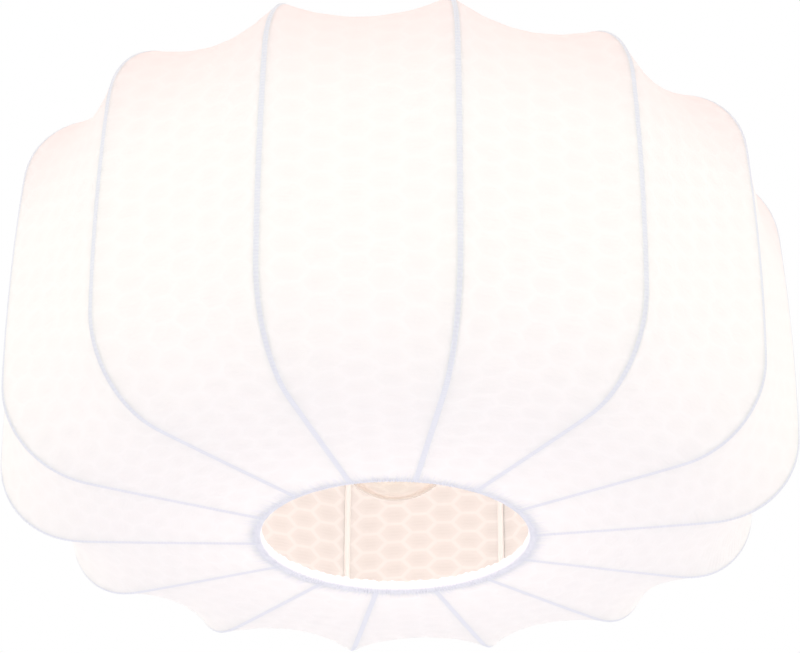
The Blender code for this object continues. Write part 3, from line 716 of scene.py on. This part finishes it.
def wiring(plastic, steel, brown, blue):
    """Terminal block with its clamp screws, and the two leads down the stem."""
    top = CEILING - CANOPY_DEPTH + CANOPY_WALL + GAP + BLOCK_TOP - CLAMP_SUNK
    dress("terminal_block", plastic)
    for way, y in enumerate((-WAY_Y, WAY_Y)):
        for end, x in enumerate((-WAY_X, WAY_X)):
            spot = Matrix.Translation((BLOCK_X + x, y, RING_Z))
            low = top - CLAMP_LENGTH
            head = [(0.0, top), (CLAMP_R, top), (CLAMP_R, low), (0.0, low)]
            screw = turned(f"clamp_screw_{way}{end}", head, steel, "zinc_steel", sides=32,
                           soften=0.0003, place=spot)
            shape = bmesh.new()
            turn = Matrix.Rotation(0.4 + 0.9 * way + end, 4, "Z")
            slot = Matrix.Translation((BLOCK_X + x, y, RING_Z + top)) @ turn
            size = Matrix.Diagonal((0.006, 0.0005, 0.0012, 1))
            bmesh.ops.create_cube(shape, size=1.0, matrix=slot @ size)
            rod = bpy.data.meshes.new("slot")
            shape.to_mesh(rod)
            shape.free()
            bore_through(screw, rod)
    start_x = BLOCK_X - 0.011 - GAP
    leads = ("live", -1, brown, "brown_insulation"), ("neutral", 1, blue, "blue_insulation")
    for name, y, finish, slot in leads:
        route = [
            (start_x, WAY_Y * y, 0.2925),
            (0.018, WAY_Y * y, 0.2935),
            (0.013, 0.004 * y, 0.2975),
            (0.008, 0.0028 * y, 0.3015),
            (0.0035, 0.0018 * y, 0.3025),
            (0.0008, 0.0014 * y, 0.3005),
            (0.0, 0.0014 * y, 0.296),
            (0.0, 0.0014 * y, JOINT + 0.0016),
        ]
        route = softened(route, 0.003, steps=6) + np.array([0, 0, RING_Z])
        tube(f"lead_{name}_wire", route, LEAD_R, finish, f"lead_{name}")


class Nodes:
    """Short calls for building a material's node tree."""

    def __init__(self, name):
        self.material = bpy.data.materials.new(name)
        self.material.use_nodes = True
        self.tree = self.material.node_tree
        self.shader = self.tree.nodes["Principled BSDF"]
        self.output = self.tree.nodes["Material Output"]

    def add(self, kind, inputs=(), **settings):
        node = self.tree.nodes.new(kind)
        for key, value in settings.items():
            setattr(node, key, value)
        for key, value in dict(inputs).items():
            if isinstance(value, bpy.types.NodeSocket):
                self.tree.links.new(value, node.inputs[key])
            else:
                node.inputs[key].default_value = value
        return node

    def math(self, operation, *values):
        return self.add("ShaderNodeMath", dict(enumerate(values)), operation=operation).outputs[0]

    def ramp(self, value, low, high, out_low=0.0, out_high=1.0):
        inputs = {0: value, 1: low, 2: high, 3: out_low, 4: out_high}
        return self.add("ShaderNodeMapRange", inputs, interpolation_type="SMOOTHSTEP").outputs[0]

    def mix(self, share, first, second):
        return self.add("ShaderNodeMix", {0: share, 6: first, 7: second}, data_type="RGBA").outputs[2]

    def tinted(self, share, colour, tint):
        inputs = {0: share, 6: colour, 7: (*tint, 1)}
        node = self.add("ShaderNodeMix", inputs, data_type="RGBA", blend_type="MULTIPLY")
        return node.outputs[2]

    def set(self, **values):
        for key, value in values.items():
            socket = self.shader.inputs[key.replace("_", " ")]
            if isinstance(value, bpy.types.NodeSocket):
                self.tree.links.new(value, socket)
            else:
                socket.default_value = value


def gathers(n):
    """How much the knit is drawn together near its two openings, which also sets the painted shade of
    its pleats there, and the fine pleats for the relief.
    """
    at = n.add("ShaderNodeUVMap", uv_map="gather").outputs["UV"]
    away = n.add("ShaderNodeSeparateXYZ", {0: at}).outputs["Y"]
    spread = n.add("ShaderNodeMapping", {"Vector": at, "Scale": (32.0, 60.0, 1.0)}).outputs[0]
    pleats = n.add("ShaderNodeTexNoise", {"Vector": spread, "Scale": 1.0, "Detail": 3.0}).outputs["Fac"]
    pleats = n.ramp(pleats, 0.36, 0.66)
    reach = n.math("MULTIPLY_ADD", pleats, -0.012, n.math("ADD", away, 0.010))
    gather = n.math("MULTIPLY", n.ramp(reach, -0.002, GATHER_REACH, 1.0, 0.0), 0.85)
    near = n.ramp(away, 0.0, GATHER_REACH, 1.0, 0.0)
    return gather, n.math("MULTIPLY", pleats, near)


def knit_material(name, looks, honeycomb=True):
    """Stretch knit that reflects part of the light and passes part of it.

    With honeycomb it is the skin, with its cells, stitches, seams and gathers, and painted light and
    shade: warmer towards the top, cooler towards the mouth, and shaded on the seams and gathers; else
    it is plain.
    """
    thin, thick, through, share = looks
    n = Nodes(name)
    fibre = n.add("ShaderNodeTexNoise", {"Scale": FIBRE_SCALE, "Detail": 3.0}).outputs["Fac"]
    if honeycomb:
        uv = n.add("ShaderNodeUVMap", uv_map="knit").outputs["UV"]
        split = n.add("ShaderNodeSeparateXYZ", {0: uv})
        x = n.math("PINGPONG", split.outputs["X"], CELL_W / 2)
        y = n.math("PINGPONG", split.outputs["Y"], CELL_H / 2)
        slant = (2 * CELL_TIP - CELL_W / 2) / CELL_H * 2

        def share_of(x, y):
            flat = n.math("MULTIPLY", y, 2 / CELL_H)
            tip = n.math("MULTIPLY", n.math("MULTIPLY_ADD", y, slant, x), 1 / CELL_TIP)
            return n.math("MAXIMUM", flat, tip)

        other = share_of(n.math("SUBTRACT", CELL_W / 2, x), n.math("SUBTRACT", CELL_H / 2, y))
        cell = n.math("MINIMUM", share_of(x, y), other)
        cell = n.math("MULTIPLY_ADD", n.math("SUBTRACT", fibre, 0.5), 0.10, cell)
        line = n.ramp(cell, 0.77, 0.93)
        eye = n.ramp(cell, 0.20, 0.78, 1.0, 0.0)
        courses = {"Vector": uv, "Scale": COURSE_SCALE, "Distortion": 1.4, "Detail Scale": 3.0}
        rows = n.add("ShaderNodeTexWave", courses, bands_direction="Y").outputs["Fac"]
        wales = {"Vector": uv, "Scale": WALE_SCALE, "Distortion": 0.8}
        columns = n.add("ShaderNodeTexWave", wales, bands_direction="X").outputs["Fac"]
        stitches = n.math("MULTIPLY_ADD", columns, 0.25, rows)
        dip = n.math("MULTIPLY", eye, n.math("MULTIPLY_ADD", stitches, -0.50, 1.0))
        density = n.math("MULTIPLY_ADD", line, 0.52, n.math("MULTIPLY_ADD", dip, -0.40, 0.48))
        from_seam = n.add("ShaderNodeUVMap", uv_map="seam").outputs["UV"]
        edge = n.add("ShaderNodeSeparateXYZ", {0: from_seam})
        seam = n.ramp(edge.outputs["X"], SEAM_HALF - 0.0005, SEAM_HALF + 0.0004, 1.0, 0.0)
        stitch = {"Vector": from_seam, "Scale": PUCKER_SCALE, "Distortion": 2.0}
        puckers = n.add("ShaderNodeTexWave", stitch, bands_direction="Y").outputs["Fac"]
        sewn = n.math("MULTIPLY", seam, n.math("MULTIPLY_ADD", puckers, 0.3, 0.7))
        colour = n.mix(density, (*thin, 1), (*thick, 1))
        # Painted warm light towards the top, in the skin's colour and in the light it lets through.
        high = n.ramp(edge.outputs["Y"], *PAINTED_WARM_LIGHT_FROM_TO)
        # Painted cool shade towards the mouth.
        low = n.ramp(edge.outputs["Y"], *PAINTED_COOL_SHADE_FROM_TO, 1.0, 0.0)
        colour = n.tinted(low, n.tinted(high, colour, PAINTED_WARM_LIGHT), PAINTED_COOL_SHADE)
        through = n.tinted(high, (*through, 1), PAINTED_WARM_LIGHT)
        gather, pleats = gathers(n)
        # Painted shade in the gathers' pleats near the openings, over the knit's own colour.
        colour = n.mix(n.math("MULTIPLY", gather, 0.85), colour, (*GATHER_AND_SHADE_COLOUR, 1))
        # Painted shade along the rib lines, over the seam's own colour.
        colour = n.mix(sewn, colour, (*SEAM_AND_SHADE_COLOUR, 1))
        height = n.math("MULTIPLY_ADD", stitches, 0.20, n.math("MULTIPLY_ADD", puckers, seam, density))
        height = n.math("MULTIPLY_ADD", pleats, 1.5, height)
        passing = n.ramp(density, 0.0, 1.0, share[0], share[1])
        passing = n.math("MULTIPLY", passing, n.math("MULTIPLY_ADD", seam, -0.65, 1.0))
        passing = n.math("MULTIPLY", passing, n.math("MULTIPLY_ADD", gather, -0.32, 1.0))
    else:
        through = (*through, 1)
        patches = n.add("ShaderNodeTexNoise", {"Scale": PATCH_SCALE, "Detail": 2.0}).outputs["Fac"]
        density = n.math("MULTIPLY_ADD", fibre, 0.5, n.math("MULTIPLY", patches, 0.5))
        colour = n.mix(density, (*thin, 1), (*thick, 1))
        height = fibre
        passing = n.ramp(density, 0.2, 0.8, share[0], share[1])
    height = n.math("MULTIPLY_ADD", fibre, 0.35, height)
    bump = n.add("ShaderNodeBump", {"Strength": 0.3, "Distance": 0.0005, "Height": height}).outputs[0]
    n.set(Base_Color=colour, Roughness=0.95, Normal=bump)
    n.set(Sheen_Weight=0.1, Sheen_Roughness=0.6, Specular_IOR_Level=0.15)
    glow = n.add("ShaderNodeBsdfTranslucent", {"Color": through, "Normal": bump})
    blend = n.add("ShaderNodeMixShader", {0: passing, 1: n.shader.outputs[0], 2: glow.outputs[0]})
    n.tree.links.new(blend.outputs[0], n.output.inputs["Surface"])
    return n.material


def surface(name, colour, vary=0.04, roughness=(0.35, 0.5), metallic=0.0, scale=60.0, depth=0.00005,
            stretch=(1, 1, 1), coat=0.0):
    """A hard finish: fine grain and slow patches change its colour, roughness and relief."""
    n = Nodes(name)
    place = n.add("ShaderNodeTexCoord").outputs["Object"]
    along = n.add("ShaderNodeMapping", {"Vector": place, "Scale": stretch}).outputs[0]
    grain = n.add("ShaderNodeTexNoise", {"Vector": along, "Scale": scale * 12, "Detail": 4.0})
    patch = n.add("ShaderNodeTexNoise", {"Vector": place, "Scale": scale, "Detail": 3.0})
    slow = n.math("MULTIPLY", patch.outputs["Fac"], 0.5)
    both = n.math("MULTIPLY_ADD", grain.outputs["Fac"], 0.5, slow)
    dark = tuple(c * (1 - 2 * vary) for c in colour)
    light = tuple(min(1.0, c * (1 + vary)) for c in colour)
    tone = n.mix(n.ramp(both, 0.35, 0.65), (*dark, 1), (*light, 1))
    bump = {"Strength": 0.6, "Distance": depth, "Height": grain.outputs["Fac"]}
    n.set(Base_Color=tone, Roughness=n.ramp(both, 0.3, 0.7, *roughness), Metallic=metallic)
    n.set(Normal=n.add("ShaderNodeBump", bump).outputs[0])
    if coat:
        n.set(Coat_Weight=coat, Coat_Roughness=0.08)
    return n.material


def glass_material():
    """Clear glass, a little amber where it is seen edge on."""
    n = Nodes("clear_bulb_glass")
    facing = n.add("ShaderNodeLayerWeight", {"Blend": 0.35}).outputs["Facing"]
    tint = n.mix(n.ramp(facing, 0.30, 1.0), (0.99, 0.975, 0.945, 1), (0.97, 0.89, 0.76, 1))
    dust = n.add("ShaderNodeTexNoise", {"Scale": 60.0, "Detail": 2.0}).outputs["Fac"]
    n.set(Base_Color=tint, Roughness=n.ramp(dust, 0.45, 0.9, 0.0, 0.02), IOR=1.47)
    n.set(Transmission_Weight=1.0)
    return n.material


def filament_material():
    """Phosphor along the filament, in bands of two warm tones."""
    n = Nodes("warm_filament")
    bands = n.add("ShaderNodeTexWave", {"Scale": 160.0}, bands_direction="Z").outputs["Fac"]
    tone = n.mix(bands, (0.95, 0.62, 0.25, 1), (1.0, 0.82, 0.50, 1))
    n.set(Base_Color=tone, Roughness=0.6, Emission_Color=tone, Emission_Strength=1.6)
    return n.material


def world_and_lights():
    world = bpy.data.worlds.new("studio")
    bpy.context.scene.world = world
    world.use_nodes = True
    tree = world.node_tree
    tree.nodes.clear()
    seen = tree.nodes.new("ShaderNodeBackground")
    seen.inputs["Color"].default_value = (1, 1, 1, 1)
    ambient = tree.nodes.new("ShaderNodeBackground")
    ambient.inputs["Color"].default_value = (*AMBIENT, 1)
    path = tree.nodes.new("ShaderNodeLightPath")
    mix = tree.nodes.new("ShaderNodeMixShader")
    out = tree.nodes.new("ShaderNodeOutputWorld")
    tree.links.new(path.outputs["Is Camera Ray"], mix.inputs[0])
    tree.links.new(ambient.outputs[0], mix.inputs[1])
    tree.links.new(seen.outputs[0], mix.inputs[2])
    tree.links.new(mix.outputs[0], out.inputs[0])
    glow = bpy.data.lights.new("bulb_glow", "POINT")
    glow.energy = BULB_WATTS
    glow.color = BULB_COLOUR
    glow.shadow_soft_size = 0.03
    glow.use_nodes = True
    falloff = glow.node_tree.nodes.new("ShaderNodeLightFalloff")
    falloff.inputs["Strength"].default_value = 5.0
    emission = glow.node_tree.nodes["Emission"]
    glow.node_tree.links.new(falloff.outputs["Linear"], emission.inputs["Strength"])
    lamp = bpy.data.objects.new("bulb_glow", glow)
    lamp.location = (0, 0, RING_Z + GLOBE_Z)
    lamp.visible_camera = lamp.visible_transmission = False
    bpy.context.scene.collection.objects.link(lamp)
    bpy.context.scene.view_settings.view_transform = "Standard"


def floor():
    mesh = bpy.data.meshes.new("floor")
    size, level = FLOOR_SIZE, RING_Z - FLOOR_DROP
    corners = [(-size, -size, level), (size, -size, level), (size, size, level), (-size, size, level)]
    mesh.from_pydata(corners, [], [(0, 1, 2, 3)])
    piece = bpy.data.objects.new("floor", mesh)
    bpy.context.scene.collection.objects.link(piece)
    mesh.materials.append(surface("pale_floor", FLOOR_COLOUR, 0.01, (0.85, 0.95), scale=2.0))


def dress(node, finish):
    """Gives a CAD node that stays in view its finish."""
    kept = bpy.data.objects[node]
    for slot in kept.material_slots:
        slot.material = finish


camera()
world_and_lights()
floor()
knit = knit_material("honeycomb_knit", FRONT)
reverse = knit_material("honeycomb_reverse", REVERSE)
hem = knit_material("hem_knit", HEM, honeycomb=False)
casing = knit_material("casing_knit", CASING, honeycomb=False)
paint = surface("white_lacquer", (0.86, 0.85, 0.83), 0.02, (0.35, 0.5), scale=40.0, coat=0.2)
powder = surface("white_powder_coat", (0.88, 0.87, 0.85), 0.02, (0.45, 0.6), scale=90.0, depth=0.00012)
zinc = surface("bright_zinc", (0.66, 0.66, 0.65), 0.10, (0.22, 0.42), 1.0, 45.0, 0.00003, (1, 1, 5))
brass = surface("plain_brass", (0.80, 0.62, 0.33), 0.08, (0.18, 0.36), 1.0, 50.0, 0.00003, (1, 1, 4))
nickel = surface("nickel_plate", (0.74, 0.72, 0.68), 0.07, (0.14, 0.30), 1.0, 50.0, 0.00003, (1, 1, 4))
plastic = surface("cream_moulded", (0.86, 0.83, 0.76), 0.03, (0.35, 0.5), scale=120.0, depth=0.00006)
glaze = surface("white_glaze", (0.90, 0.88, 0.84), 0.02, (0.15, 0.3), scale=60.0, coat=0.6)
vitrite = surface("black_vitrite", (0.03, 0.03, 0.04), 0.15, (0.1, 0.25), scale=80.0, coat=0.4)
brown = surface("brown_sleeve", (0.20, 0.09, 0.04), 0.08, (0.35, 0.5), scale=150.0)
blue = surface("blue_sleeve", (0.05, 0.16, 0.42), 0.08, (0.35, 0.5), scale=150.0)
glass = glass_material()
skin_pieces(knit, reverse)
rib_wires(paint)
sleeves(casing)
gathered_edge("bottom_gather", hem, RING_R, 0.0, 1, "bottom_hem")
gathered_edge("top_gather", hem, TOP_R, TOP_Z - RING_Z, -1, "top_hem")
rings(paint)
spider(paint)
hub_and_stem(powder, zinc)
canopy(powder)
dress("ceiling_bracket", zinc)
thumb_screw("right", brass, zinc)
thumb_screw("left", brass, zinc)
wiring(plastic, zinc, brown, blue)
lampholder(plastic, glaze, brass)
dress("centre_contact", brass)
bulb(glass, nickel, vitrite, filament_material())
